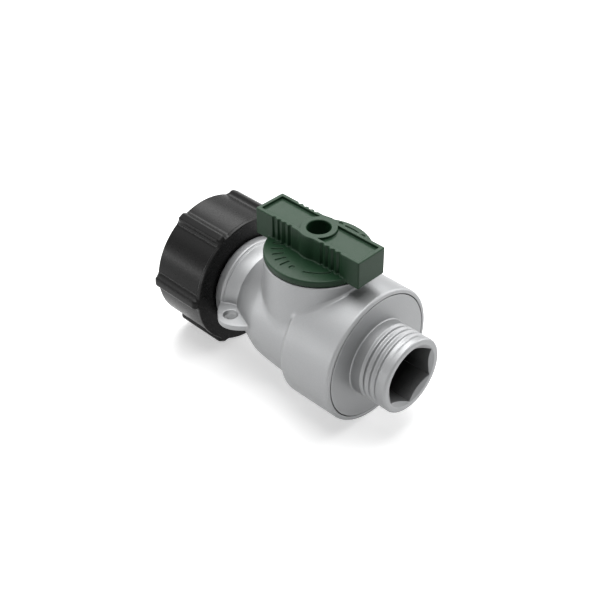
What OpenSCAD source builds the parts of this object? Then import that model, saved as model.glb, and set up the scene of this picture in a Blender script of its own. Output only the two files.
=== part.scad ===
// Hose shut-off connector: a quarter-turn ball valve between a swivel nut and a male outlet.
// The pipe axis is X, flow runs from the nut (X = 0) towards the outlet, and the stem is up (+Z).

/* [Standard threads] */
// Major diameter of the inlet's female pipe thread
inlet_thread_d = 26.44; // [26:0.01:28]
// Crest diameter that the female thread leaves open
inlet_minor_d = 24.12; // [23.9:0.01:24.6]
// Major diameter of the outlet's male pipe thread
outlet_thread_d = 20.95; // [20:0.01:22]

/* [Swivel nut] */
// Length of the nut
nut_len = 17.4; // [16:0.1:20]
// Diameter of the nut between its ribs
nut_d = 36.4; // [34:0.1:38]
// Diameter of the rim at the nut's rear face
nut_rim_d = 37; // [36.6:0.1:38]
// Width of the rim at the nut's rear face
nut_rim_w = 1.2; // [0.8:0.1:2]
// Height of the grip ribs above the nut
nut_rib_h = 1.8; // [0.8:0.1:2.5]
// Width of a grip rib at its top
nut_rib_w = 2.6; // [1.4:0.1:4]
// Radius of the round at both ends of a grip rib
nut_rib_end = 1; // [0.5:0.1:1.4]
// Number of grip ribs
nut_rib_count = 6; // [4:1:12]
// Turn of the ribs about the pipe, at rest
nut_rib_turn = 57; // [0:1:60]
// Radius of the hollow at each side of a grip rib
nut_rib_flank_r = 1.4; // [0.8:0.1:1.8]
// Chamfer at the ends of the nut
nut_chamfer = 0.3; // [0.2:0.1:0.5]
// Thickness of the web that the tail passes through
nut_web_t = 3; // [2.4:0.1:3.6]
// Length of the threaded bore
nut_thread_len = 8.8; // [8:0.1:8.8]
// Depth of the lead-in chamfer at the threaded bore's mouth
nut_lead_in = 0.4; // [0.3:0.1:1]

/* [Tail] */
// Diameter of the tail that the nut turns on
tail_d = 19.84; // [19:0.01:20.4]
// Diameter of the flow bore
flow_d = 13; // [11:0.1:13.4]
// Length of the land between the tail's end and the ring groove
tail_land = 1.55; // [1:0.05:2]
// Thickness of the snap ring
ring_t = 1.2; // [0.8:0.1:1.5]
// Height of the snap ring above the tail
ring_h = 1.1; // [0.8:0.1:1.4]
// Depth of the snap ring groove
ring_groove = 0.9; // [0.6:0.1:1.4]
// Gap in the split snap ring
ring_gap = 4; // [2:0.5:6]
// Thickness of the hose washer
washer_t = 2.5; // [1.5:0.1:3]

/* [Body casting] */
// Distance from the neck's bead to the ball's centre
inlet_arm = 26.1; // [25.4:0.1:30]
// Distance from the ball's centre to the outlet's flat face
outlet_arm = 20.8; // [20:0.1:24]
// Diameter of the bead beside the nut
bead_d = 26.4; // [25.4:0.1:28]
// Width of the bead
bead_w = 1.8; // [1.4:0.1:2.2]
// Width and depth of the fine groove beside the bead
bead_groove = 0.25; // [0.15:0.05:0.4]
// Step down from the bead to the neck's land
neck_step = 0.45; // [0.3:0.05:0.6]
// Smallest diameter of the neck
neck_d = 22.6; // [22.4:0.1:22.8]
// Radius of the hollow between the neck and the shoulder
neck_hollow_r = 8; // [7.5:0.1:8.5]
// Radius of the hollow between the neck and the bead
neck_bead_r = 2.2; // [2:0.1:2.3]
// Diameter of the barrel at the ball's centre
barrel_d = 32.8; // [32.4:0.1:33.2]
// Angle by which the barrel narrows towards the neck
barrel_draft = 4; // [3:0.5:5]
// Distance from the ball's centre back to the barrel's shoulder
shoulder_back = 9.9; // [9.7:0.1:10.1]
// Slope of the shoulder
shoulder_angle = 23; // [22.5:0.5:24]
// Radius of the round on the shoulder
shoulder_r = 5; // [3:0.5:7]
// Diameter of the collar round the outlet cap
collar_d = 37.6; // [37.4:0.1:40]
// Distance from the ball's centre to the collar's back
collar_back = 3.9; // [3:0.1:5]
// Radius of the round on the collar's back edge
collar_round = 1.6; // [0.8:0.1:1.7]
// Radius of the round on the collar's front edge
collar_lip = 0.8; // [0.4:0.1:0.8]
// Diameter of the stem tower
tower_d = 27.2; // [26.4:0.1:27.8]
// Height of the tower's top above the pipe axis
tower_h = 21.15; // [21:0.05:24]

/* [Tie eyelet] */
// Diameter of the hole in the eyelet
eye_hole_d = 3.8; // [3:0.1:3.8]
// Width of material round the hole
eye_wall = 1.4; // [1.4:0.1:1.8]
// Thickness of the eyelet
eye_t = 1.6; // [1.4:0.1:2.4]
// Distance of the hole behind the ball's centre
eye_back = 17.8; // [17.6:0.1:18.2]
// Distance of the hole from the pipe axis
eye_out = 15.1; // [15:0.1:15.6]
// Distance along the pipe from the hole to the flank's foot on the barrel
eye_span = 9; // [8.6:0.1:9.4]
// How deep the flanks start inside the bead and the barrel
eye_root = 0.6; // [0.5:0.1:0.8]

/* [Ball and seats] */
// Diameter of the ball
ball_d = 21; // [20.4:0.1:21.4]
// Outer diameter of the seats
seat_d = 19.2; // [18.8:0.1:19.4]
// Flat rim on the seat's face
seat_rim = 0.6; // [0.4:0.1:0.8]
// Thickness of a seat
seat_t = 4.2; // [4:0.1:4.6]
// How far a seat stands out of its pocket
seat_proud = 0.6; // [0.4:0.1:0.8]
// Thickness of the rubber ring behind a seat
cushion_cord = 1.5; // [1.2:0.1:1.6]
// Distance from the flow bore to the rubber rings and the hose washer
bore_margin = 0.6; // [0.4:0.1:0.9]
// Clearance of the ball in its chamber
ball_play = 0.6; // [0.4:0.1:0.8]
// Wall left between the ball's bore and its slot
slot_floor = 1.6; // [1.2:0.1:2]
// Width of the stem's tang
tang_w = 4.8; // [4:0.1:5.6]

/* [Stem] */
// Diameter of the stem
stem_d = 9; // [8.8:0.1:9.4]
// Diameter of the stem's flange
stem_flange_d = 11; // [10.8:0.1:11.4]
// Thickness of the stem's flange
stem_flange_t = 1.3; // [1:0.1:1.4]
// Thickness of the thrust washer
thrust_t = 0.8; // [0.6:0.1:1]
// Depth of the stem's seal grooves
seal_depth = 1.1; // [0.9:0.1:1.3]
// Width of a seal groove beyond its depth
seal_slack = 0.4; // [0.3:0.05:0.5]
// Length of the stem's sealed part
gland_len = 4.2; // [4:0.1:5]
// Side of the square drive
square_w = 6.2; // [5.6:0.1:6.2]

/* [Handle] */
// Length of the lever
lever_len = 35.2; // [30:0.1:44]
// Width of the lever
lever_w = 9.6; // [8:0.1:9.8]
// Height of the lever's top above the pipe axis
lever_top = 29.8; // [29.4:0.1:34]
// Height of the lever's underside above the dial's
lever_lift = 0.7; // [0.4:0.1:1.2]
// Radius of the lever's upright corners
lever_corner = 0.4; // [0.3:0.1:1.5]
// Diameter of the lever's round boss
boss_d = 10.6; // [10.2:0.1:12]
// Diameter of the dial
dial_d = 28.1; // [28:0.1:32]
// Thickness of the dial
dial_t = 1.8; // [1.8:0.1:2.4]
// Width of the rim round the lever's pockets
pocket_rim = 1.1; // [0.6:0.1:1.4]
// Depth of the lever's pockets
pocket_depth = 0.8; // [0.4:0.1:1.4]
// Number of grip grooves on each side of an arm
groove_count = 4; // [2:1:5]
// Distance from one grip groove to the next
groove_pitch = 1.85; // [1.7:0.05:2]
// Distance from the stem axis to the first grip groove
groove_start = 5.5; // [5.4:0.1:6.5]
// Radius of a grip groove
groove_r = 0.55; // [0.3:0.05:0.7]
// Diameter of the hole over the screw
screw_well_d = 6.2; // [6:0.1:6.8]
// Thickness of the handle's floor under the screw
handle_floor = 1.2; // [1:0.1:1.6]
// Diameter of the hub under the dial
hub_d = 12; // [11:0.1:13]
// Thickness of the lock washer
lock_t = 0.8; // [0.6:0.1:1]
// Diameter of the lock washer
lock_d = 5.6; // [5:0.1:5.8]
// Diameter of the screw
screw_d = 3; // [2.5:0.1:3]
// Diameter of the screw's head
screw_head_d = 5.5; // [4.6:0.1:5.8]
// Height of the screw's head
screw_head_h = 2; // [1.6:0.1:2.2]
// Length of the screw under its head
screw_len = 9; // [7:0.5:10]
// Width of the screw's slot
screw_slot = 0.9; // [0.7:0.1:1.2]

/* [Quarter-turn stop] */
// Angle that the handle turns through
turn = 90; // [80:1:100]
// Angle that the stop lug covers
lug_angle = 24; // [16:1:40]
// Turn of the stop lug's middle about the stem
lug_turn = 225; // [215:1:235]
// Inner diameter of the stop lug
lug_in_d = 16.6; // [16:0.1:18]
// Width of the stop lug
lug_w = 2.4; // [1.6:0.1:3]
// Height of the stop lug
lug_h = 0.8; // [0.6:0.1:0.9]

/* [Outlet cap] */
// Length of the male outlet
spigot_len = 11.3; // [10:0.1:14]
// Radius of the round on the outlet's end
spigot_round = 0.8; // [0.4:0.1:1]
// Width across the flats of the hexagon socket
hex_w = 14.6; // [13.8:0.1:14.8]
// Depth of the hexagon socket
hex_depth = 9; // [6:0.1:10]
// Depth of the chamfer at the socket's mouth
hex_chamfer = 1; // [0.6:0.1:1.2]
// Diameter of the chamfer at the socket's mouth
hex_mouth_d = 17.8; // [17.2:0.1:18.4]
// Diameter of the cap's flat face
cap_d = 34.8; // [34:0.1:35]
// Thickness of the cap's flange
cap_flange_t = 2.6; // [2:0.1:3]
// Diameter of the cap's thread in the body
cap_thread_d = 28; // [27.6:0.1:30]
// Length of the cap's sealed nose
nose_len = 4.4; // [4.2:0.1:5]
// Depth of the seal groove in the cap's nose
nose_seal = 1.3; // [1.1:0.1:1.4]
// Wall between the seat's pocket and the seal groove
nose_wall = 1.6; // [1.4:0.1:1.8]
// Length of the relief between the cap's nose and its thread
nose_relief = 0.6; // [0.4:0.1:1]

/* [Clearances] */
// Radial clearance of the nut, the stem and other turning fits
run_gap = 0.08; // [0.04:0.01:0.1]
// Radial clearance of the fits that don't turn
fit_gap = 0.05; // [0.02:0.01:0.08]
// Clearance at the faces of the moving pieces
face_gap = 0.2; // [0.1:0.05:0.25]
// Squeeze left out at each side of a rubber ring
seal_gap = 0.02; // [0.01:0.01:0.04]

/* [Hidden] */
$fn = 96;

// Small overlap that keeps cuts clean
eps = 0.01;
// Overrun of a cut past the faces that it opens
over = 1;
// Play of the stop lug in its slot at each end of the turn, in degrees
stop_play = 1;

// Stations along the pipe
ring_x1 = nut_len - nut_web_t - face_gap;
ring_x0 = ring_x1 - ring_t;
tail_x = ring_x0 - fit_gap - tail_land;
bead_x = nut_len + face_gap;
ball_x = bead_x + inlet_arm;
cap_face_x = ball_x + outlet_arm;
outlet_end_x = cap_face_x + spigot_len;

// Radii that several pieces share
flow_r = flow_d / 2;
ball_r = ball_d / 2;
seat_r = seat_d / 2;
pocket_r = seat_r + fit_gap;
chamber_r = ball_r + ball_play;
cushion_in = flow_r + bore_margin;
nose_groove_r = pocket_r + nose_wall;
nose_r = nose_groove_r + nose_seal;
cap_thread_r = cap_thread_d / 2;
tail_r = tail_d / 2;
stem_r = stem_d / 2;
stem_bore_r = stem_r + run_gap;
nut_bore_r = inlet_thread_d / 2;
nut_relief_r = (nut_bore_r + inlet_minor_d / 2) / 2;
washer_r = inlet_minor_d / 2 - 1.5 * run_gap;

// Distances from the ball's centre along the pipe
seat_front = sqrt(pow(ball_r, 2) - pow(seat_r - seat_rim, 2));
seat_back = seat_front + seat_t;
pocket_mouth = seat_front + seat_proud;
pocket_end = seat_back + cushion_cord;
nose_end = pocket_mouth + nose_len;
flange_back = outlet_arm - cap_flange_t;

// Heights above the pipe axis
slot_z = flow_r + slot_floor;
tang_z = slot_z + face_gap;
flange_z = ball_r + 2 * face_gap;
thrust_z = flange_z + stem_flange_t + fit_gap;
gland_z0 = thrust_z + thrust_t + fit_gap;
gland_z1 = gland_z0 + gland_len;
seal_w = seal_depth + seal_slack;
seal_lower_z = gland_z0 + gland_len / 4;
seal_upper_z = gland_z0 + gland_len * 3 / 4;
hub_z = gland_z1 + face_gap;
dial_z = tower_h + 1.25 * face_gap;
dial_top = dial_z + dial_t;
square_top = dial_z - 2 * face_gap;
floor_z = square_top + fit_gap;
well_z = floor_z + handle_floor;
head_z = well_z + lock_t;
recess_r = stem_flange_d / 2 + 3 * run_gap;
tang_r = stem_flange_d / 2 - 2 * face_gap;

// Sweeps a profile, drawn as (radius, x), about the pipe axis
module about_pipe(x = 0) {
    translate([x, 0, 0]) rotate([0, 90, 0]) rotate_extrude() children();
}

// Round bar along the pipe from x0 to x1
module pipe_bar(r, x0, x1) {
    translate([x0, 0, 0]) rotate([0, 90, 0]) cylinder(r = r, h = x1 - x0);
}

// Upright round bar over the ball's centre
module stem_bar(r, z0, z1) {
    translate([ball_x, 0, z0]) cylinder(r = r, h = z1 - z0);
}

// Rubber ring that fills a space, lying about the pipe axis
module pipe_ring(r_in, r_out, x0, x1) {
    r_cord = min(r_out - r_in, x1 - x0) / 2 - seal_gap;
    about_pipe() translate([(r_in + r_out) / 2, (x0 + x1) / 2]) circle(r = r_cord, $fn = 32);
}

// Flat strip of a ring between two radii, cut to an angle that starts at the given turn
module ring_sector(r_in, r_out, start, angle) {
    reach = 2 * r_out;
    intersection() {
        difference() {
            circle(r = r_out);
            circle(r = r_in);
        }
        polygon([[0, 0], for (k = [0:4]) reach * [cos(start + k * angle / 4), sin(start + k * angle / 4)]]);
    }
}

// Radius of the drafted barrel at a distance from the ball's centre
function barrel_r(x) = barrel_d / 2 + x * tan(barrel_draft);

// Outer form of the neck and barrel: land, hollows, sloping shoulder and drafted barrel
module neck_profile() {
    neck_r = neck_d / 2;
    land_r = bead_d / 2 - neck_step;
    corner_r = barrel_r(-shoulder_back);
    slope = [sin(shoulder_angle), cos(shoulder_angle)];
    draft = [sin(barrel_draft), cos(barrel_draft)];
    foot_x = -shoulder_back - (corner_r - neck_r) / tan(shoulder_angle);
    foot_t = neck_hollow_r * tan(shoulder_angle / 2);
    neck_x = foot_x - foot_t;
    corner = [corner_r, -shoulder_back];
    corner_t = shoulder_r * tan((shoulder_angle - barrel_draft) / 2);
    land_x = neck_x - sqrt(pow(neck_bead_r, 2) - pow(neck_r + neck_bead_r - land_r, 2));
    difference() {
        polygon([[0, -inlet_arm], [land_r, -inlet_arm], [land_r, land_x],
            [neck_r, foot_x] + foot_t * slope, corner - corner_t * slope,
            corner + corner_t * draft, [barrel_r(collar_back), collar_back],
            [barrel_r(collar_back), collar_back + collar_round], [0, collar_back + collar_round]]);
        translate([neck_r + neck_bead_r, neck_x]) circle(r = neck_bead_r, $fn = 64);
        intersection() {
            translate([neck_r + neck_hollow_r, neck_x]) circle(r = neck_hollow_r, $fn = 192);
            translate([0, neck_x]) square(2 * neck_hollow_r);
        }
        translate([land_r - bead_groove, bead_w - inlet_arm]) square([over, bead_groove]);
    }
    translate(corner + corner_t * draft + shoulder_r * [-draft[1], draft[0]])
        circle(r = shoulder_r, $fn = 128);
}

// Bead beside the nut
module bead_profile() {
    bead_round = bead_w / 2;
    translate([0, -inlet_arm]) square([bead_d / 2 - bead_round, bead_w]);
    translate([bead_d / 2 - bead_round, bead_round - inlet_arm]) circle(r = bead_round, $fn = 48);
}

// Outer form of the collar, with a hollow where it leaves the barrel and rounded edges
module collar_profile() {
    collar_r = collar_d / 2;
    step = (collar_r - collar_round - barrel_r(collar_back) + 2 * eps) / (1 - tan(barrel_draft));
    root_r = collar_r - collar_round - step;
    difference() {
        translate([0, collar_back - step]) square([root_r + step, step + eps]);
        translate([root_r + step, collar_back - step + 2 * eps]) circle(r = step, $fn = 48);
    }
    translate([0, collar_back]) square([collar_r - collar_round, collar_round + eps]);
    translate([collar_r - collar_round, collar_back + collar_round]) circle(r = collar_round, $fn = 48);
    translate([0, collar_back + collar_round])
        square([collar_r, outlet_arm - collar_back - collar_round - collar_lip]);
    translate([0, outlet_arm - collar_lip - eps]) square([collar_r - collar_lip, collar_lip + eps]);
    translate([collar_r - collar_lip, outlet_arm - collar_lip]) circle(r = collar_lip, $fn = 48);
}

// Point where a line from p touches a circle of radius r about c, on the given side
function touch_point(p, c, r, side) =
    let (d = norm(p - c), a = atan2(p[1] - c[1], p[0] - c[0]) + side * acos(r / d))
    c + r * [cos(a), sin(a)];

// Flat eyelet at the body's mid plane, with straight flanks down to the bead and the barrel
module eyelet() {
    hole = [ball_x - eye_back, -eye_out];
    eye_r = eye_hole_d / 2 + eye_wall;
    flank_r = eye_r - 2 * eps;
    root_y = -neck_d / 2 + eye_root;
    bead_foot = [bead_x + 3 / 4 * bead_w, eye_root - bead_d / 2];
    barrel_foot = [hole[0] + eye_span, eye_root - barrel_r(eye_span - eye_back)];
    translate([0, 0, -eye_t / 2]) linear_extrude(eye_t) {
        translate(hole) circle(r = eye_r);
        polygon([[bead_foot[0], root_y], bead_foot, touch_point(bead_foot, hole, flank_r, 1), hole,
            touch_point(barrel_foot, hole, flank_r, -1), barrel_foot, [barrel_foot[0], root_y]]);
    }
}

// Raised sector on the tower's top that stops the handle at both ends of its turn
module stop_lug() {
    translate([ball_x, 0, tower_h - eps]) linear_extrude(lug_h + eps)
        ring_sector(lug_in_d / 2, lug_in_d / 2 + lug_w, lug_turn - lug_angle / 2, lug_angle);
}

// Every bore and chamber inside the casting
module body_chambers() {
    pipe_bar(flow_r, tail_x - over, ball_x);
    pipe_bar(pocket_r, ball_x - pocket_end, ball_x);
    pipe_bar(chamber_r, ball_x - pocket_mouth, ball_x + pocket_mouth);
    pipe_bar(nose_r + fit_gap, ball_x + pocket_mouth - fit_gap, ball_x + nose_end + fit_gap);
    pipe_bar(cap_thread_r + fit_gap, ball_x + nose_end, ball_x + flange_back);
    pipe_bar(cap_d / 2 + 2 * fit_gap, ball_x + flange_back, cap_face_x + over);
    stem_bar(recess_r, 0, gland_z0);
    stem_bar(stem_bore_r, 0, tower_h + over);
    stem_bar(hub_d / 2 + face_gap, gland_z1, tower_h + over);
    translate([ball_x - eye_back, -eye_out, -eye_t]) cylinder(d = eye_hole_d, h = 2 * eye_t, $fn = 48);
}

// Tail that carries the nut, with the snap ring's groove
module tail() {
    difference() {
        pipe_bar(tail_r, tail_x, bead_x + over);
        difference() {
            pipe_bar(tail_r + over, ring_x0 - fit_gap, ring_x1 + fit_gap);
            pipe_bar(tail_r - ring_groove, ring_x0 - over, ring_x1 + over);
        }
    }
}

module valve_body() {
    color("#c3c6c9") difference() {
        union() {
            tail();
            about_pipe(ball_x) {
                bead_profile();
                neck_profile();
                collar_profile();
            }
            stem_bar(tower_d / 2, 0, tower_h);
            eyelet();
            stop_lug();
        }
        body_chambers();
    }
}

// Profile of the cap's outside, from its nose to the end of the male outlet
module cap_profile() {
    spigot_r = outlet_thread_d / 2;
    groove_w = nose_seal + seal_slack;
    groove_mid = (pocket_mouth + nose_end) / 2;
    difference() {
        translate([0, pocket_mouth]) square([nose_r, nose_len]);
        translate([nose_groove_r, groove_mid - groove_w / 2]) square([nose_seal + over, groove_w]);
    }
    translate([0, nose_end - eps]) square([nose_groove_r, nose_relief + 2 * eps]);
    translate([0, nose_end + nose_relief])
        square([cap_thread_r, flange_back - nose_end - nose_relief + eps]);
    translate([0, flange_back]) square([cap_d / 2, cap_flange_t]);
    translate([0, outlet_arm - eps]) square([spigot_r, spigot_len - spigot_round + eps]);
    translate([0, outlet_arm]) square([spigot_r - spigot_round, spigot_len]);
    translate([spigot_r - spigot_round, outlet_arm + spigot_len - spigot_round])
        circle(r = spigot_round, $fn = 48);
}

module outlet_cap() {
    hex_r = hex_w / sqrt(3);
    color("#cbced1") difference() {
        about_pipe(ball_x) intersection() {
            cap_profile();
            square([cap_d, outlet_arm + spigot_len]);
        }
        pipe_bar(pocket_r, ball_x, ball_x + pocket_end);
        pipe_bar(flow_r, ball_x, outlet_end_x + over);
        translate([outlet_end_x - hex_depth, 0, 0]) rotate([0, 90, 0])
            cylinder(r = hex_r, h = hex_depth + over, $fn = 6);
        about_pipe(outlet_end_x) polygon([[0, -hex_chamfer], [hex_w / 2, -hex_chamfer],
            [hex_mouth_d / 2, eps], [0, eps]]);
    }
}

module cap_o_ring() {
    mid = ball_x + (pocket_mouth + nose_end) / 2;
    color("#202224") pipe_ring(nose_groove_r, nose_r + fit_gap, mid - nose_seal, mid + nose_seal);
}

module ball() {
    slot_w = tang_w + face_gap;
    color("#d9dcdf") difference() {
        translate([ball_x, 0, 0]) sphere(r = ball_r);
        pipe_bar(flow_r, ball_x - ball_r, ball_x + ball_r);
        translate([ball_x - slot_w / 2, -ball_r, slot_z]) cube([slot_w, ball_d, ball_r]);
    }
}

// Seat ring drawn on the outlet's side of the ball, hollowed to the ball's surface
module seat() {
    difference() {
        pipe_bar(seat_r, seat_front, seat_back);
        pipe_bar(flow_r, 0, seat_back + over);
        sphere(r = ball_r + run_gap);
    }
}

module outlet_seat() {
    color("#f2f1ec") translate([ball_x, 0, 0]) seat();
}

module inlet_seat() {
    color("#f2f1ec") translate([ball_x, 0, 0]) mirror([1, 0, 0]) seat();
}

module outlet_seat_cushion() {
    color("#202224") pipe_ring(cushion_in, seat_r, ball_x + seat_back, ball_x + pocket_end);
}

module inlet_seat_cushion() {
    color("#202224") pipe_ring(cushion_in, seat_r, ball_x - pocket_end, ball_x - seat_back);
}

module stem() {
    color("#b8a15a") difference() {
        union() {
            intersection() {
                stem_bar(tang_r, tang_z, flange_z + eps);
                translate([ball_x - tang_w / 2, -stem_flange_d, tang_z])
                    cube([tang_w, 2 * stem_flange_d, stem_flange_d]);
            }
            stem_bar(stem_flange_d / 2, flange_z, flange_z + stem_flange_t);
            stem_bar(stem_r, flange_z, gland_z1);
            translate([ball_x - square_w / 2, -square_w / 2, flange_z])
                cube([square_w, square_w, square_top - flange_z]);
        }
        for (z = [seal_lower_z, seal_upper_z]) difference() {
            stem_bar(stem_d, z - seal_w / 2, z + seal_w / 2);
            stem_bar(stem_r - seal_depth, z - seal_w, z + seal_w);
        }
        stem_bar(screw_d / 2 + fit_gap, head_z - screw_len - 2 * face_gap, square_top + over);
    }
}

module stem_thrust_washer() {
    color("#efe9d8") difference() {
        stem_bar(recess_r - fit_gap, thrust_z, thrust_z + thrust_t);
        stem_bar(stem_bore_r, thrust_z - over, thrust_z + thrust_t + over);
    }
}

// Rubber ring in one of the stem's grooves
module stem_seal(z) {
    r_in = stem_r - seal_depth;
    r_cord = (stem_bore_r - r_in) / 2 - seal_gap;
    translate([ball_x, 0, z]) rotate_extrude()
        translate([(stem_bore_r + r_in) / 2, 0]) circle(r = r_cord, $fn = 32);
}

module stem_o_ring_lower() {
    color("#202224") stem_seal(seal_lower_z);
}

module stem_o_ring_upper() {
    color("#202224") stem_seal(seal_upper_z);
}

// Plan of the lever: a bar with rounded corners and scalloped grips, and its boss
module lever_plan() {
    half = lever_len / 2;
    difference() {
        union() {
            square([lever_len - 2 * lever_corner, lever_w], center = true);
            square([lever_len, lever_w - 2 * lever_corner], center = true);
            for (sx = [-1, 1], sy = [-1, 1])
                translate([sx * (half - lever_corner), sy * (lever_w / 2 - lever_corner)])
                    circle(r = lever_corner, $fn = 32);
        }
        for (sx = [-1, 1], sy = [-1, 1], k = [0:groove_count - 1])
            translate([sx * (groove_start + k * groove_pitch), sy * (lever_w / 2 + groove_r / 5)])
                circle(r = groove_r, $fn = 24);
    }
    circle(d = boss_d);
}

// Plan of one pocket in the lever's top, drawn on the outlet's side
module pocket_plan() {
    difference() {
        translate([0, pocket_rim - lever_w / 2])
            square([lever_len / 2 - pocket_rim, lever_w - 2 * pocket_rim]);
        circle(d = boss_d - pocket_rim);
    }
}

module handle() {
    color("#2f5b45") difference() {
        union() {
            stem_bar(dial_d / 2, dial_z, dial_top);
            stem_bar(hub_d / 2, hub_z, dial_z + eps);
            translate([ball_x, 0, dial_z + lever_lift])
                linear_extrude(lever_top - dial_z - lever_lift) lever_plan();
        }
        for (turned = [0, 180])
            translate([ball_x, 0, lever_top - pocket_depth]) rotate([0, 0, turned])
                linear_extrude(pocket_depth + over) pocket_plan();
        stem_bar(screw_well_d / 2, well_z, lever_top + over);
        stem_bar(screw_d / 2 + face_gap, floor_z - over, well_z + over);
        translate([ball_x - square_w / 2 - fit_gap, -square_w / 2 - fit_gap, hub_z - over])
            cube([square_w + 2 * fit_gap, square_w + 2 * fit_gap, floor_z - hub_z + over]);
        translate([ball_x, 0, dial_z - over]) linear_extrude(over + lug_h)
            ring_sector(lug_in_d / 2 - face_gap, lug_in_d / 2 + lug_w + face_gap,
                lug_turn - lug_angle / 2 - stop_play, lug_angle + turn + 2 * stop_play);
    }
}

module screw_lock_washer() {
    color("#8d9093") difference() {
        stem_bar(lock_d / 2, well_z, well_z + lock_t);
        stem_bar(screw_d / 2 + 2 * fit_gap, well_z - over, well_z + lock_t + over);
        translate([ball_x, -lock_t / 2, well_z - over]) cube([lock_d, lock_t, lock_t + 2 * over]);
    }
}

module handle_screw() {
    color("#3a3c3e") difference() {
        union() {
            stem_bar(screw_d / 2, head_z - screw_len, head_z + eps);
            stem_bar(screw_head_d / 2, head_z, head_z + screw_head_h);
        }
        translate([ball_x - screw_head_d / 2 - over, -screw_slot / 2, head_z + screw_head_h / 2])
            cube([screw_head_d + 2 * over, screw_slot, screw_head_h]);
    }
}

// Plan of one grip rib, drawn on the first axis, with a hollow flank at each side
module rib_plan() {
    base_r = nut_d / 2;
    flank_y = nut_rib_w / 2 + nut_rib_flank_r;
    flank_x = sqrt(pow(base_r + 0.9 * nut_rib_flank_r, 2) - pow(flank_y, 2));
    for (side = [0, 1]) mirror([0, side]) difference() {
        polygon([[base_r - over, 0], [base_r - over, flank_y], [flank_x, flank_y], [flank_x, 0]]);
        translate([flank_x, flank_y]) circle(r = nut_rib_flank_r, $fn = 48);
    }
    translate([base_r - over, -nut_rib_w / 2]) square([nut_rib_h + over, nut_rib_w]);
}

// Outside of the nut between two radii, with a chamfer at each end
module nut_blank(r_mouth, r_rear) {
    step_x = nut_len - nut_rim_w;
    about_pipe() polygon([[0, 0], [r_mouth - nut_chamfer, 0], [r_mouth, nut_chamfer],
        [r_mouth, step_x - nut_chamfer], [r_rear, step_x],
        [r_rear, nut_len - nut_chamfer], [r_rear - nut_chamfer, nut_len], [0, nut_len]]);
}

// Space that the grip ribs keep inside, rounded at both ends of the nut
module rib_space() {
    rib_r = nut_d / 2 + nut_rib_h;
    about_pipe() {
        square([rib_r - nut_rib_end, nut_len]);
        translate([0, nut_rib_end]) square([rib_r, nut_len - 2 * nut_rib_end]);
        for (x = [nut_rib_end, nut_len - nut_rib_end])
            translate([rib_r - nut_rib_end, x]) circle(r = nut_rib_end, $fn = 48);
    }
}

module swivel_nut() {
    color("#2a2a2b") difference() {
        union() {
            nut_blank(nut_d / 2, nut_rim_d / 2);
            intersection() {
                rib_space();
                for (k = [0:nut_rib_count - 1])
                    rotate([nut_rib_turn + k * 360 / nut_rib_count, 0, 0]) rotate([90, 0, 90])
                        linear_extrude(nut_len) rib_plan();
            }
        }
        pipe_bar(nut_bore_r, -over, nut_thread_len);
        pipe_bar(nut_relief_r, -over, nut_len - nut_web_t);
        pipe_bar(tail_r + run_gap, -over, nut_len + over);
        about_pipe() polygon([[0, -eps], [nut_bore_r + nut_lead_in, -eps],
            [nut_bore_r, nut_lead_in], [0, nut_lead_in]]);
    }
}

module nut_snap_ring() {
    color("#9fa2a4") difference() {
        pipe_bar(tail_r + ring_h, ring_x0, ring_x1);
        pipe_bar(tail_r - ring_groove + fit_gap, ring_x0 - over, ring_x1 + over);
        translate([ring_x0 - over, -ring_gap / 2, 0]) cube([ring_t + 2 * over, ring_gap, tail_d]);
    }
}

module hose_washer() {
    color("#1b1c1e") difference() {
        pipe_bar(washer_r, tail_x - washer_t, tail_x);
        pipe_bar(cushion_in, 0, tail_x + over);
    }
}

valve_body();
outlet_cap();
cap_o_ring();
ball();
inlet_seat();
outlet_seat();
inlet_seat_cushion();
outlet_seat_cushion();
stem();
stem_thrust_washer();
stem_o_ring_lower();
stem_o_ring_upper();
handle();
handle_screw();
screw_lock_washer();
swivel_nut();
nut_snap_ring();
hose_washer();
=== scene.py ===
"""Looks of a hose shut-off connector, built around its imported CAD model.

The four outer pieces are modelled as signed distance fields, in millimetres, and meshed:
the cast body, the outlet cap, the handle and the swivel nut. Every other piece keeps its
CAD mesh and gets a finish. Axes: X runs along the pipe from the nut, Z up the stem.
"""
import math

import bpy
import numpy as np
import openvdb
from mathutils import Matrix, Vector


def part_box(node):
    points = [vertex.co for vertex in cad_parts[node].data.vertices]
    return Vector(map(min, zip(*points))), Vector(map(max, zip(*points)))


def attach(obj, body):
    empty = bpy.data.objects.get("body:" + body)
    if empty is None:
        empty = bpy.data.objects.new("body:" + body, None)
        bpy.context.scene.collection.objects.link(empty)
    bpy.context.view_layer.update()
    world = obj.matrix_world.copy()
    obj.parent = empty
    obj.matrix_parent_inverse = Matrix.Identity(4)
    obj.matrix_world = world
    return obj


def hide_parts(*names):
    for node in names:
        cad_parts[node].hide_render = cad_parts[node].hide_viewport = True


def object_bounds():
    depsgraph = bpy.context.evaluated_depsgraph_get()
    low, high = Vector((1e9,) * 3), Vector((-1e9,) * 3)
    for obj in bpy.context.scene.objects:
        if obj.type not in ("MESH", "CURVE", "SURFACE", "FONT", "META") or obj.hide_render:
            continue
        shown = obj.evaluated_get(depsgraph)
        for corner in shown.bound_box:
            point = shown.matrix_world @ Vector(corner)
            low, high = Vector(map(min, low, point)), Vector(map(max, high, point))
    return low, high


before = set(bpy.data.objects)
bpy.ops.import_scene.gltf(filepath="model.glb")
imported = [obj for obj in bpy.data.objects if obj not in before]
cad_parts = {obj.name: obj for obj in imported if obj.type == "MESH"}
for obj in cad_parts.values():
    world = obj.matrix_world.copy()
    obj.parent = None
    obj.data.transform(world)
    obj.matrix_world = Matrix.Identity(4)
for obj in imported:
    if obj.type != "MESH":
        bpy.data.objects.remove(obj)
cad_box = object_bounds()

MM = 0.001

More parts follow.
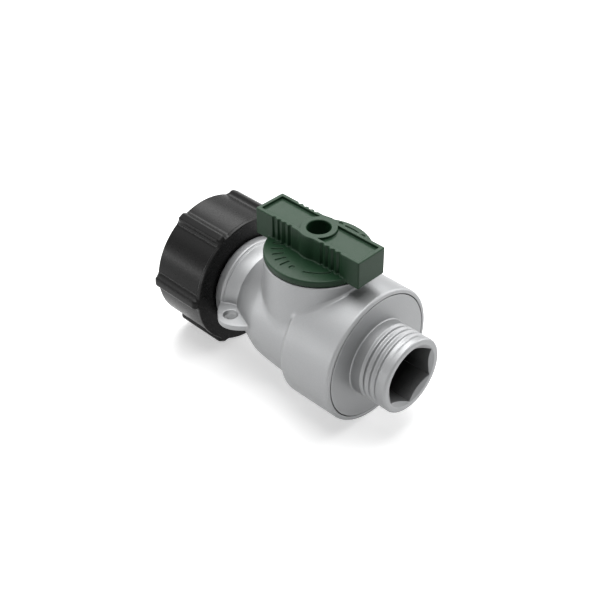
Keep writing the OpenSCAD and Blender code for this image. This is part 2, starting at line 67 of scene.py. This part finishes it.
# Stations along the pipe and up the stem, as the CAD has them
BALL_X = 43.7
BEAD_X = 17.6
NUT_LEN = 17.4
TAIL_X = 11.4
OUTLET_END_X = 75.8
INLET_ARM = BALL_X - BEAD_X
OUTLET_ARM = 20.8
TOWER_TOP = 21.15
DIAL_Z = 21.4
DIAL_TOP = 23.2
LEVER_Z = 22.1
LEVER_TOP = 29.8
FLANGE_BACK = 18.2
CORE_END = 16
PITCH = 25.4 / 14

# Radii that two shapes share
SEAT_R = 9.65
BORE_R = 6.5
HUB_R = 6.0
STOP_R = 9.5

# Place along the pipe past the collar's end, for a shape that runs out of it or is cut off later
BEYOND = 30


# Camera

def place_camera():
    """Camera solved from the photograph: 600 x 600 px, turned 44.6 degrees, 38 degrees above."""
    focal_px, frame_px, sensor = 1150.0, 600.0, 36.0
    azimuth, elevation, roll = map(math.radians, (44.63, 38.02, -0.45))
    centre_px = (318.42, 320.18)
    distance = 303.5 * MM
    back = Vector((math.sin(azimuth) * math.cos(elevation),
                   -math.cos(azimuth) * math.cos(elevation), math.sin(elevation)))
    level = Vector((math.cos(azimuth), math.sin(azimuth), 0))
    upright = back.cross(level)
    right = math.cos(roll) * level + math.sin(roll) * upright
    up = math.cos(roll) * upright - math.sin(roll) * level
    across = (centre_px[0] - frame_px / 2) / focal_px
    above = (frame_px / 2 - centre_px[1]) / focal_px
    data = bpy.data.cameras.new("camera")
    data.sensor_width = sensor
    data.lens = focal_px * sensor / frame_px
    data.clip_start, data.clip_end = 0.01, 10
    camera = bpy.data.objects.new("camera", data)
    turn = Matrix((right, up, back)).transposed().to_4x4()
    place = Vector((BALL_X * MM, 0, 0)) - distance * (right * across + up * above - back)
    camera.matrix_world = Matrix.Translation(place) @ turn
    bpy.context.collection.objects.link(camera)
    bpy.context.scene.camera = camera


# Distance fields

def round_union(a, b, radius):
    """Joins two fields with a fillet of the given radius where their surfaces meet."""
    # A fillet in a square corner fills just over 0.41 of its radius
    deepest = 0.42
    low = np.minimum(a, b)
    curve = np.hypot(np.maximum(radius - a, 0), np.maximum(radius - b, 0))
    return np.maximum(np.maximum(radius, low) - curve, low - deepest * radius)


def round_cut(a, b, radius):
    """Keeps what two fields share, with a rounded edge of the given radius."""
    return -round_union(-a, -b, radius)


def box2(u, v, u0, u1, v0, v1, corner=0.0):
    """Rectangle with rounded corners in the plane of u and v."""
    du = np.abs(u - (u0 + u1) / 2) - (u1 - u0) / 2 + corner
    dv = np.abs(v - (v0 + v1) / 2) - (v1 - v0) / 2 + corner
    return np.hypot(np.maximum(du, 0), np.maximum(dv, 0)) + np.minimum(np.maximum(du, dv), 0) - corner


def rod(r, s, radius, s0, s1, corner=0.0):
    """Round bar about an axis: r is the distance from it and s the place along it."""
    return box2(r, s, -radius, radius, s0, s1, corner)


def polygon(u, v, points):
    """Signed distance to a polygon in the plane of u and v."""
    nearest = np.full(np.shape(u), 1e9)
    side = np.ones(np.shape(u))
    for (u0, v0), (u1, v1) in zip(points, points[-1:] + points[:-1]):
        eu, ev = u1 - u0, v1 - v0
        wu, wv = u - u0, v - v0
        t = np.clip((wu * eu + wv * ev) / (eu * eu + ev * ev), 0, 1)
        nearest = np.minimum(nearest, np.hypot(wu - t * eu, wv - t * ev))
        above, below, turn = v >= v0, v < v1, eu * wv > ev * wu
        flip = (above & below & turn) | (~above & ~below & ~turn)
        side = np.where(flip, -side, side)
    return side * nearest


def stroke(u, v, start, end, width):
    """Round-ended line of the given width in the plane of u and v."""
    eu, ev = end[0] - start[0], end[1] - start[1]
    wu, wv = u - start[0], v - start[1]
    t = np.clip((wu * eu + wv * ev) / (eu * eu + ev * ev), 0, 1)
    return np.hypot(wu - t * eu, wv - t * ev) - width / 2


def sector(u, v, start, end):
    """Wedge of under half a turn about the origin, between two angles in degrees."""
    a, b = math.radians(start), math.radians(end)
    return np.maximum(u * math.sin(a) - v * math.cos(a), v * math.cos(b) - u * math.sin(b))


def smooth_step(t):
    """Soft rise from 0 to 1 while t runs from 0 to 1."""
    t = np.clip(t, 0, 1)
    return t * t * (3 - 2 * t)


# The four outer pieces

def bow(start, pull, end, count=10):
    """Points along a curve from start to end that leans towards the pull."""
    t = np.linspace(0, 1, count)[:, None]
    points = (1 - t) ** 2 * np.array(start) + 2 * t * (1 - t) * np.array(pull) + t * t * np.array(end)
    return [tuple(p) for p in points]


def shoulder_curve():
    """Outer form of the cast body from the bead to the collar, built up from its slope.

    Gives places along the pipe with the radius and the slope there: a land, the hollow neck,
    a crease, the sloping shoulder and the barrel with its draft.
    """
    step, barrel_r = 0.02, 16.4
    places = (-30, -22.62, -22.58, -21.3, -19.36, -19.24, -17.5, -15, -12, -10.8, -9.2, -7.5, 0, CORE_END)
    slopes = (0, 0, -0.75, -0.5, -0.2, 0.62, 0.5, 0.45, 0.41, 0.36, 0.15, 0.09, 0.06, 0.06)
    u = np.arange(places[0], places[-1], step)
    slope = np.interp(u, places, slopes)
    radius = np.cumsum(slope) * step
    return u, radius + barrel_r - np.interp(0, u, radius), slope


SHOULDER = shoulder_curve()


def body_field(x, y, z):
    """Cast body: tail, bead, neck, sloping shoulder, barrel, collar, stem tower, eyelet, stop lug."""
    bead_r, bead_w, bead_round = 13.2, 3.0, 0.75
    collar_r, collar_back, collar_round, lip = 18.8, 3.9, 1.6, 0.8
    tower_r, tower_draft, tower_edge, tower_foot = 14.1, math.radians(2.5), 0.35, -2
    tower_join, collar_join = 0.6, 0.7
    ear_half, ear_edge, ear_join, eye_r = 0.8, 0.25, 0.3, 1.9
    tail_r, tail_edge, ring_r, ring_start, ring_end = 9.92, 0.25, 9.02, 12.95, 14.25
    lug_half, lug_height, lug_start, lug_stop, lug_edge = 1.2, 0.8, 213, 237, 0.15
    counterbore_r, counterbore_edge = 17.5, 0.22
    r = np.hypot(y, z)
    u = x - BALL_X
    rho = np.hypot(u, y)

    places, radii, slopes = SHOULDER
    slope = np.interp(u, places, slopes)
    core = (r - np.interp(u, places, radii)) / np.hypot(1, slope)
    core = np.maximum(core, np.maximum(-INLET_ARM - u, u - CORE_END))
    core = np.minimum(core, rod(r, u, bead_r, -INLET_ARM, bead_w - INLET_ARM, bead_round))

    wall = (rho - tower_r) * math.cos(tower_draft) + (z - TOWER_TOP) * math.sin(tower_draft)
    tower = np.maximum(round_cut(wall, z - TOWER_TOP, tower_edge), tower_foot - z)
    collar = np.maximum(rod(r, u, collar_r, collar_back, BEYOND, collar_round),
                        rod(r, u, collar_r, -5, OUTLET_ARM, lip))
    step = collar_r - float(np.interp(collar_back, places, radii)) - collar_round
    solid = np.minimum(round_union(core, tower, tower_join), round_union(core, collar, step))
    solid = np.minimum(solid, round_union(tower, collar, collar_join))

    # Flat eyelet beside the neck, drawn in plan
    eye = (BALL_X - 17.8, -15.1)
    outline = bow((18.9, -11.6), (20.6, -15.6), (24.6, -18.3))
    outline += bow((24.6, -18.3), (28.6, -20.4), (33.2, -14.9))[1:] + [(33.2, -10.7), (18.9, -10.7)]
    ear = round_cut(polygon(x, y, outline), np.abs(z) - ear_half, ear_edge)
    solid = np.minimum(solid, round_union(core, ear, ear_join))

    # Tail inside the nut, with the snap ring's groove
    tail = rod(r, x, tail_r, TAIL_X, BEAD_X + 1, tail_edge)
    ring_groove = box2(r, x, ring_r, 20, ring_start, ring_end)
    solid = np.minimum(solid, np.maximum(tail, -ring_groove))

    # Lug on the tower that stops the handle
    lug = np.maximum(np.abs(rho - STOP_R) - lug_half, z - TOWER_TOP - lug_height)
    lug = round_cut(lug, sector(u, y, lug_start, lug_stop), lug_edge)
    solid = np.minimum(solid, np.maximum(lug, TOWER_TOP - 1 - z))

    # Along the pipe: flow bore, seat pocket, ball chamber, bores for the cap's nose and thread.
    # Along the stem: bores for its flange and its shaft, and the well for the handle's hub.
    pipe_bores = ((SEAT_R, -11.15, 1), (11.1, -6.01, 6.01), (12.6, 5.96, 10.46), (14.05, 10.41, 18.3))
    stem_bores = ((5.74, 0, 13.1), (4.58, 0, 18), (HUB_R + 0.2, 17.3, 24))
    inside = rod(r, u, BORE_R, -40, 2)
    for radius, start, end in pipe_bores:
        inside = np.minimum(inside, rod(r, u, radius, start, end))
    for radius, start, end in stem_bores:
        inside = np.minimum(inside, rod(rho, z, radius, start, end))
    solid = np.maximum(solid, -inside)
    solid = round_cut(solid, -rod(r, u, counterbore_r, FLANGE_BACK, BEYOND), counterbore_edge)
    return round_cut(solid, eye_r - np.hypot(x - eye[0], y - eye[1]), ear_edge)


def thread_groove(x, y, z, start, first, last, depth, width):
    """Depth of a right-handed helical groove that begins and ends at the given turns."""
    run_in, run_out = 0.12, 0.35
    around = np.arctan2(z, y) / (2 * math.pi)
    turn = (x - start) / PITCH - around
    index = np.clip(np.round(turn), math.floor(first), math.ceil(last))
    off = np.abs(turn - index) * PITCH
    along = index + around
    grown = smooth_step((along - first) / run_in) * smooth_step((last - along) / run_out)
    return depth * grown * np.cos(math.pi / 2 * np.clip(2 * off / width, 0, 1)) ** 2


def cap_field(x, y, z):
    """Outlet cap: sealed nose, thread, flat flange and the male outlet with its socket."""
    nose_r, core_r, thread_r, flange_r, spigot_r = 12.55, 11.25, 14.0, 17.3, 10.475
    flange_edge, spigot_edge, spigot_join, key_edge = 0.15, 0.7, 0.35, 0.1
    key_half, key_depth, mouth_r, mouth_depth, mouth_slope = 7.5, 9, 8.95, 1, 1.6
    nose_start, nose_end, ring_start, ring_end = 6.01, 10.41, 7.36, 9.06
    first_turn_x, first_turn, last_turn, groove_depth, groove_w = 67.5, 0.05, 3.42, 0.62, 1.75
    slant = 0.7
    r = np.hypot(y, z)
    u = x - BALL_X
    end = OUTLET_END_X - BALL_X
    nose = rod(r, u, nose_r, nose_start, nose_end, flange_edge)
    nose = np.maximum(nose, -box2(r, u, core_r, 20, ring_start, ring_end))
    solid = np.minimum(nose, rod(r, u, core_r, 6.5, 12))
    solid = np.minimum(solid, rod(r, u, thread_r, 11.01, 19))
    flange = rod(r, u, flange_r, FLANGE_BACK, OUTLET_ARM, flange_edge)
    spigot = rod(r, u, spigot_r, 12, end, spigot_edge)
    groove = thread_groove(x, y, z, first_turn_x, first_turn, last_turn, groove_depth, groove_w)
    spigot = round_union(flange, spigot, spigot_join) + slant * groove * (u > OUTLET_ARM)
    solid = np.minimum(solid, spigot)
    flats = [np.abs(y * math.cos(a) + z * math.sin(a)) for a in np.radians((0, 60, 120))]
    socket = np.maximum(np.max(flats, axis=0) - key_half, end - key_depth - u)
    bore = np.minimum(rod(r, u, BORE_R, 0, 60), rod(r, u, SEAT_R, -5, 11.15))
    solid = np.maximum(solid, -bore)
    solid = round_cut(solid, -socket, key_edge)
    cone = (r - mouth_r - mouth_slope * (u - end)) / math.hypot(1, mouth_slope)
    return round_cut(solid, -np.maximum(cone, end - mouth_depth - u), key_edge)


def handle_field(x, y, z):
    """Handle: lever with boss, pockets and grip grooves, on a dial with a square hub."""
    half_length, half_width, corner, foot_edge, top_edge = 17.6, 4.8, 0.4, 0.2, 0.28
    boss_r, boss_join = 5.3, 0.25
    groove_count, groove_start, groove_pitch, groove_y, groove_r, groove_edge = 4, 5.5, 1.85, 4.91, 0.55, 0.15
    rim, pocket_depth, pocket_corner, pocket_boss_r, pocket_join, pocket_edge = 1.1, 0.8, 0.3, 4.75, 0.2, 0.15
    dial_r, dial_edge, dial_join, mark_edge = 14.05, 0.4, 0.35, 0.08
    hub_foot, hub_top, square_half, square_top = 17.5, 22, 3.15, 21.05
    hole_r, hole_floor, hole_edge, screw_r = 3.1, 22.25, 0.3, 1.7
    recess_half, recess_start, recess_stop, recess_depth = 1.4, 212, 328, 0.8
    u = x - BALL_X
    rho = np.hypot(u, y)

    lever = box2(u, y, -half_length, half_length, -half_width, half_width, corner)
    lever = round_cut(lever, LEVER_Z - z, foot_edge)
    grooves = np.full(np.shape(x), 1e9)
    for k in range(groove_count):
        away = np.hypot(np.abs(u) - groove_start - groove_pitch * k, np.abs(y) - groove_y)
        grooves = np.minimum(grooves, away - groove_r)
    lever = round_cut(lever, -grooves, groove_edge)
    bar = round_union(lever, np.maximum(rho - boss_r, LEVER_Z - z), boss_join)
    bar = round_cut(bar, z - LEVER_TOP, top_edge)
    pocket = box2(np.abs(u), y, 0, half_length - rim, rim - half_width, half_width - rim, pocket_corner)
    pocket = round_cut(pocket, pocket_boss_r - rho, pocket_join)
    pocket = round_cut(pocket, LEVER_TOP - pocket_depth - z, pocket_edge)
    bar = round_cut(bar, -pocket, pocket_edge)

    dial = rod(rho, z, dial_r, DIAL_Z, DIAL_TOP, dial_edge)
    solid = round_union(dial, bar, dial_join)
    solid = round_cut(solid, -dial_marks(u, y, rho, z), mark_edge)
    solid = np.minimum(solid, rod(rho, z, HUB_R, hub_foot, hub_top))
    solid = round_cut(solid, -rod(rho, z, hole_r, hole_floor, 40), hole_edge)
    solid = np.maximum(solid, -rod(rho, z, screw_r, 17, 24))
    square = box2(u, y, -square_half, square_half, -square_half, square_half)
    solid = np.maximum(solid, -np.maximum(square, z - square_top))

    # Recess under the dial that the body's lug runs in
    recess = np.maximum(np.abs(rho - STOP_R) - recess_half, sector(u, y, recess_start, recess_stop))
    return np.maximum(solid, -np.maximum(recess, z - DIAL_Z - recess_depth))


def dial_marks(u, y, rho, z):
    """Plain marks cut in the dial: two arcs, five ticks and three dots."""
    arc_half, tick_w, dot_w, depth, edge = 0.28, 0.6, 1.5, 0.3, 0.1

    def at(radius, angle):
        return (radius * math.cos(math.radians(angle)), radius * math.sin(math.radians(angle)))

    cuts = [np.maximum(np.abs(rho - radius) - arc_half, sector(u, y, start, end))
            for radius, start, end in ((10.5, -68, -30), (12.2, 78, 100))]
    for angle in (-100, -112, -124, -136, -148):
        cuts.append(stroke(u, y, at(9.2, angle), at(11.6, angle), tick_w))
    for radius, angle in ((10.3, -86), (12.4, 107), (12.4, 70)):
        cuts.append(stroke(u, y, at(radius, angle), at(radius + 0.01, angle), dot_w))
    return round_cut(np.min(cuts, axis=0), DIAL_TOP - depth - z, edge)


def nut_field(x, y, z):
    """Swivel nut: hollow-flanked grip ribs, a thin rim at its rear, and the threaded bore."""
    sleeve_r, sleeve_edge, rim_r, rim_w, rim_join = 18.2, 0.3, 18.5, 1.2, 0.25
    rib_count, rib_turn, rib_r, rib_half = 6, math.radians(57), 19.99, 1.45
    rib_edge, rib_end, rib_hollow, rib_rim_join = 0.8, 1.5, 1.4, 1.0
    minor_r, thread_len, relief_r, relief_start, relief_end = 12.06, 8.8, 12.64, 8.4, 14.4
    first_turn_x, first_turn, last_turn, groove_depth, groove_w = 0.2, -2, 7, 1.16, 1.7
    slant = 0.6
    tail_hole_r, lead_r, bore_edge = 10.0, 13.62, 0.1
    r = np.hypot(y, z)
    fold = 2 * math.pi / rib_count
    around = (np.arctan2(z, y) - rib_turn + fold / 2) % fold - fold / 2
    ends = np.abs(x - NUT_LEN / 2) - NUT_LEN / 2
    sleeve = rod(r, x, sleeve_r, 0, NUT_LEN, sleeve_edge)
    rim = rod(r, x, rim_r, NUT_LEN - rim_w, NUT_LEN, sleeve_edge)
    rib = round_cut(np.abs(r * np.sin(around)) - rib_half, r - rib_r, rib_edge)
    rib = round_cut(rib, ends, rib_end)
    solid = round_union(sleeve, rib, rib_hollow)
    solid = np.minimum(solid, round_union(rib, rim, rib_rim_join))
    solid = np.minimum(solid, round_union(sleeve, rim, rim_join))
    solid = np.maximum(solid, ends)
    groove = thread_groove(x, y, z, first_turn_x, first_turn, last_turn, groove_depth, groove_w)
    thread = rod(r, x, minor_r, -5, thread_len) - slant * groove
    bore = np.minimum(thread, rod(r, x, relief_r, relief_start, relief_end))
    bore = np.minimum(bore, rod(r, x, tail_hole_r, 10, 20))
    bore = np.minimum(bore, (r - lead_r + x) / math.sqrt(2))
    return round_cut(solid, -bore, bore_edge)


# Meshing

def mesh_arrays(field, low, high, step):
    """Vertices and quads of the zero surface, sampled only in blocks near it."""
    size, slack = 20, 1.35
    low, high = np.array(low, float) - 2 * step, np.array(high, float) + 2 * step
    blocks = np.ceil((high - low) / (step * size)).astype(int)
    index = np.stack(np.meshgrid(*[np.arange(n) for n in blocks], indexing="ij"), -1).reshape(-1, 3)
    middle = low + (index + 0.5) * size * step
    value = field(*middle.T)
    reach = 0.5 * math.sqrt(3) * size * step * slack
    outside = 10 * step
    grid = openvdb.FloatGrid(outside)
    ticks = np.arange(size) * step
    for (i, j, k), v in zip(index * size, value):
        if v < -reach:
            grid.fill((i, j, k), (i + size - 1, j + size - 1, k + size - 1), -outside, False)
        elif v < reach:
            px, py, pz = low + np.array((i, j, k)) * step
            cube = field((px + ticks)[:, None, None], (py + ticks)[None, :, None],
                         (pz + ticks)[None, None, :])
            cube = np.broadcast_to(cube, (size,) * 3).astype(np.float32)
            grid.copyFromArray(np.ascontiguousarray(cube), ijk=(int(i), int(j), int(k)))
    points, quads = grid.convertToQuads(isovalue=0.0)
    return low + points * step, quads


def gradient(field, points, reach):
    """Field's slope at each point, by central differences."""
    slopes = []
    for axis in range(3):
        shift = np.zeros(3)
        shift[axis] = reach
        slopes.append((field(*(points + shift).T) - field(*(points - shift).T)) / (2 * reach))
    return np.stack(slopes, -1)


def settle(field, points, step):
    """Moves points onto the field's zero surface, by no more than half a step."""
    rounds, reach, flattest = 2, 0.02, 0.05
    for _ in range(rounds):
        slope = gradient(field, points, reach)
        move = -field(*points.T)[:, None] * slope / np.maximum((slope ** 2).sum(1), flattest)[:, None]
        far = np.linalg.norm(move, axis=1, keepdims=True)
        points = points + move * np.minimum(1, 0.5 * step / np.maximum(far, 1e-9))
    return points


def carve(name, field, node, step, most=190000):
    """A field's surface as a mesh piece with smooth normals taken from the field."""
    coarser, reach = 1.7, 0.04
    low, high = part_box(node)
    points, quads = mesh_arrays(field, np.array(low) / MM, np.array(high) / MM, step)
    mesh = bpy.data.meshes.new(name)
    mesh.from_pydata(points, [], quads.tolist())
    piece = bpy.data.objects.new(name, mesh)
    bpy.context.collection.objects.link(piece)
    triangles = 2 * len(quads)
    if triangles > most:
        thin = piece.modifiers.new("thin", "DECIMATE")
        thin.ratio = most / triangles
        evaluated = piece.evaluated_get(bpy.context.evaluated_depsgraph_get())
        thinned = bpy.data.meshes.new_from_object(evaluated)
        piece.modifiers.clear()
        piece.data = thinned
        bpy.data.meshes.remove(mesh)
        mesh = thinned
        mesh.name = name
    found = np.empty(3 * len(mesh.vertices))
    mesh.vertices.foreach_get("co", found)
    found = settle(field, found.reshape(-1, 3), step)
    normals = gradient(field, found, reach)
    normals /= np.maximum(np.linalg.norm(normals, axis=1, keepdims=True), 1e-9)
    mesh.vertices.foreach_set("co", (found * MM).ravel())
    mesh.update()
    mesh.polygons.foreach_set("use_smooth", [True] * len(mesh.polygons))
    mesh.normals_split_custom_set_from_vertices(normals.tolist())
    print(name, "triangles", triangles, "->", sum(len(p.vertices) - 2 for p in mesh.polygons))
    return piece


# Finishes

def finish(name, colour, roughness, metallic=0.0, grain=0.3, bump=0.01, mottle=0.04, specular=0.5):
    """Finish with a fine grain in bump and roughness, and a soft drift of its colour.

    grain is the size of the grain and bump its height, in mm; mottle is the share of drift.
    """
    material = bpy.data.materials.new(name)
    material.use_nodes = True
    nodes, links = material.node_tree.nodes, material.node_tree.links
    shader = nodes["Principled BSDF"]
    shader.inputs["Metallic"].default_value = metallic
    shader.inputs["Specular IOR Level"].default_value = specular
    place = nodes.new("ShaderNodeTexCoord")

    broad_size, broad_detail, fine_detail, rough_drift = 9.0, 4, 3, 0.05

    def noise(size_mm, detail):
        node = nodes.new("ShaderNodeTexNoise")
        node.inputs["Scale"].default_value = 1 / (size_mm * MM)
        node.inputs["Detail"].default_value = detail
        links.new(place.outputs["Object"], node.inputs["Vector"])
        return node.outputs["Fac"]

    def ramp(source, low, high):
        node = nodes.new("ShaderNodeMapRange")
        node.inputs["From Min"].default_value = 0.3
        node.inputs["From Max"].default_value = 0.7
        node.inputs["To Min"].default_value = low
        node.inputs["To Max"].default_value = high
        links.new(source, node.inputs["Value"])
        return node.outputs["Result"]

    fine, broad = noise(grain, fine_detail), noise(broad_size, broad_detail)
    mix = nodes.new("ShaderNodeMix")
    mix.data_type = "RGBA"
    mix.inputs["A"].default_value = [c * (1 - mottle) for c in colour] + [1]
    mix.inputs["B"].default_value = [min(1, c * (1 + mottle)) for c in colour] + [1]
    links.new(broad, mix.inputs["Factor"])
    links.new(mix.outputs["Result"], shader.inputs["Base Color"])
    links.new(ramp(fine, roughness - rough_drift, roughness + rough_drift), shader.inputs["Roughness"])
    relief = nodes.new("ShaderNodeBump")
    relief.inputs["Distance"].default_value = bump * MM
    relief.inputs["Strength"].default_value = 1.0
    links.new(fine, relief.inputs["Height"])
    links.new(relief.outputs["Normal"], shader.inputs["Normal"])
    return material


def paint_bore_shade(material, radius, mouth, depth, share):
    """Painted shade: darkens a finish within a radius of the pipe axis, down to a share at a depth behind the
    mouth, in place of the shade deep in a bore.
    """
    mouth_share, blend = 0.8, 0.3
    nodes, links = material.node_tree.nodes, material.node_tree.links
    colour = nodes["Principled BSDF"].inputs["Base Color"]
    place = nodes["Texture Coordinate"].outputs["Object"]

    def ramp(source, start, end, low, high):
        node = nodes.new("ShaderNodeMapRange")
        node.inputs["From Min"].default_value = start * MM
        node.inputs["From Max"].default_value = end * MM
        node.inputs["To Min"].default_value = low
        node.inputs["To Max"].default_value = high
        links.new(source, node.inputs["Value"])
        return node.outputs["Result"]

    across = nodes.new("ShaderNodeVectorMath")
    across.operation = "MULTIPLY"
    across.inputs[1].default_value = (0, 1, 1)
    links.new(place, across.inputs[0])
    away = nodes.new("ShaderNodeVectorMath")
    away.operation = "LENGTH"
    links.new(across.outputs["Vector"], away.inputs[0])
    axes = nodes.new("ShaderNodeSeparateXYZ")
    links.new(place, axes.inputs[0])
    level = nodes.new("ShaderNodeMath")
    level.operation = "MAXIMUM"
    links.new(ramp(away.outputs["Value"], radius, radius + blend, 0, 1), level.inputs[0])
    links.new(ramp(axes.outputs["X"], mouth - depth, mouth, share, mouth_share), level.inputs[1])
    shaded = nodes.new("ShaderNodeVectorMath")
    shaded.operation = "SCALE"
    links.new(colour.links[0].from_socket, shaded.inputs[0])
    links.new(level.outputs[0], shaded.inputs["Scale"])
    links.new(shaded.outputs["Vector"], colour)


def srgb(red, green, blue):
    """Linear colour of an 8-bit screen colour."""
    return [((c / 255 + 0.055) / 1.055) ** 2.4 if c > 10 else c / (255 * 12.92) for c in (red, green, blue)]


def dress(piece, material):
    piece.data.materials.clear()
    piece.data.materials.append(material)


def dress_node(name, material):
    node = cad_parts[name]
    for slot in node.material_slots:
        slot.material = material
    if not node.material_slots:
        node.data.materials.append(material)


# Studio

def lamp(name, place, aim, size, power):
    """Soft rectangular lamp that faces a point."""
    data = bpy.data.lights.new(name, "AREA")
    data.shape = "RECTANGLE"
    data.size, data.size_y = size
    data.energy = power
    light = bpy.data.objects.new(name, data)
    light.location = place
    light.rotation_mode = "QUATERNION"
    light.rotation_quaternion = (Vector(aim) - Vector(place)).to_track_quat("-Z", "Y")
    bpy.context.collection.objects.link(light)


def seen_share(nodes, links):
    """1 for what the camera, a mirror or glass sees, and 0 for light."""
    path = nodes.new("ShaderNodeLightPath")
    first = nodes.new("ShaderNodeMath")
    first.operation = "MAXIMUM"
    links.new(path.outputs["Is Camera Ray"], first.inputs[0])
    links.new(path.outputs["Is Glossy Ray"], first.inputs[1])
    both = nodes.new("ShaderNodeMath")
    both.operation = "MAXIMUM"
    links.new(first.outputs[0], both.inputs[0])
    links.new(path.outputs["Is Transmission Ray"], both.inputs[1])
    return both.outputs[0]


def make_world(ambient):
    """White backdrop that gives almost no light of its own."""
    world = bpy.data.worlds.new("studio")
    bpy.context.scene.world = world
    world.use_nodes = True
    nodes, links = world.node_tree.nodes, world.node_tree.links
    shade = nodes["Background"]
    mix = nodes.new("ShaderNodeMix")
    mix.inputs["A"].default_value = ambient
    mix.inputs["B"].default_value = 1.0
    links.new(seen_share(nodes, links), mix.inputs["Factor"])
    links.new(mix.outputs["Result"], shade.inputs["Strength"])
    shade.inputs["Color"].default_value = (1, 1, 1, 1)


def make_floor(height, glow):
    """Pale floor under the object. What the camera sees of it is lifted to white, most of all far off."""
    half, near, far, far_glow = 1.5, 0.2, 0.6, 0.97
    mesh = bpy.data.meshes.new("floor")
    corners = [(-half, -half, height), (half, -half, height), (half, half, height), (-half, half, height)]
    mesh.from_pydata(corners, [], [(0, 1, 2, 3)])
    floor = bpy.data.objects.new("floor", mesh)
    bpy.context.collection.objects.link(floor)
    material = bpy.data.materials.new("floor")
    material.use_nodes = True
    nodes, links = material.node_tree.nodes, material.node_tree.links
    shader = nodes["Principled BSDF"]
    shader.inputs["Base Color"].default_value = (0.8, 0.8, 0.8, 1)
    shader.inputs["Roughness"].default_value = 0.9
    shader.inputs["Specular IOR Level"].default_value = 0.0
    shader.inputs["Emission Color"].default_value = (1, 1, 1, 1)
    away = nodes.new("ShaderNodeVectorMath")
    away.operation = "LENGTH"
    links.new(nodes.new("ShaderNodeTexCoord").outputs["Object"], away.inputs[0])
    level = nodes.new("ShaderNodeMapRange")
    level.inputs["From Min"].default_value = near
    level.inputs["From Max"].default_value = far
    level.inputs["To Min"].default_value = glow
    level.inputs["To Max"].default_value = far_glow
    links.new(away.outputs["Value"], level.inputs["Value"])
    lift = nodes.new("ShaderNodeMath")
    lift.operation = "MULTIPLY"
    links.new(level.outputs["Result"], lift.inputs[1])
    links.new(seen_share(nodes, links), lift.inputs[0])
    links.new(lift.outputs[0], shader.inputs["Emission Strength"])
    dress(floor, material)


# The scene

place_camera()

cast = finish("cast_grey", srgb(148, 149, 150), 0.5, metallic=0.8, grain=0.35, bump=0.016, mottle=0.03)
cast_cap = finish("cap_grey", srgb(146, 147, 148), 0.5, metallic=0.8, grain=0.3, bump=0.016, mottle=0.03)
# Painted shade in the cap's bore and hex socket: darkest deep inside, lighter towards the mouth.
paint_bore_shade(cast_cap, 8.5, OUTLET_END_X, 7, 0.12)
green = finish("handle_green", srgb(25, 52, 33), 0.4, grain=0.4, bump=0.008, mottle=0.05, specular=0.18)
black = finish("nut_black", srgb(10, 10, 10), 0.3, grain=0.35, bump=0.006, mottle=0.05, specular=0.14)
rubber = finish("rubber", srgb(28, 28, 29), 0.75, grain=0.25, bump=0.01)
seat_white = finish("seat_white", srgb(226, 225, 218), 0.5, grain=0.3, bump=0.004)
plating = finish("ball_plating", srgb(205, 206, 208), 0.16, metallic=1.0, grain=0.6, bump=0.001, mottle=0.01)
brass = finish("stem_brass", srgb(190, 164, 100), 0.34, metallic=1.0, grain=0.3, bump=0.004)
steel = finish("dark_steel", srgb(92, 94, 97), 0.36, metallic=1.0, grain=0.3, bump=0.004)
ring_steel = finish("ring_steel", srgb(160, 163, 166), 0.3, metallic=1.0, grain=0.3, bump=0.003)

for name, field, node, body, slot, step, material in (
        ("body_casting", body_field, "valve_body", "body", "cast_body", 0.17, cast),
        ("outlet_fitting", cap_field, "outlet_cap", "body", "cast_cap", 0.13, cast_cap),
        ("lever_handle", handle_field, "handle", "handle", "handle_plastic", 0.125, green),
        ("grip_nut", nut_field, "swivel_nut", "nut", "nut_plastic", 0.15, black)):
    piece = carve(name, field, node, step)
    dress(piece, material)
    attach(piece, body)
    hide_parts(node)

for names, material in ((("cap_o_ring", "inlet_seat_cushion", "outlet_seat_cushion", "stem_o_ring_lower",
                          "stem_o_ring_upper", "hose_washer"), rubber),
                        (("inlet_seat", "outlet_seat", "stem_thrust_washer"), seat_white),
                        (("ball",), plating), (("stem",), brass),
                        (("handle_screw", "screw_lock_washer"), steel), (("nut_snap_ring",), ring_steel)):
    for name in names:
        dress_node(name, material)

make_world(0.02)
make_floor(cad_box[0].z - 0.2 * MM, 0.5)
middle = (0.04, 0, 0)
lamp("overhead", (0.049, 0, 0.5), middle, (0.35, 0.35), 1.7)
lamp("behind", (-0.17, 0.21, 0.402), middle, (0.37, 0.37), 2.35)
lamp("right", (0.195, 0.426, 0.211), middle, (0.35, 0.35), 1.5)
lamp("left", (-0.262, -0.11, 0.383), middle, (0.35, 0.35), 0.5)
lamp("low", (-0.292, -0.369, 0.061), middle, (0.35, 0.06), 0.5)
bpy.context.scene.view_settings.view_transform = "Standard"
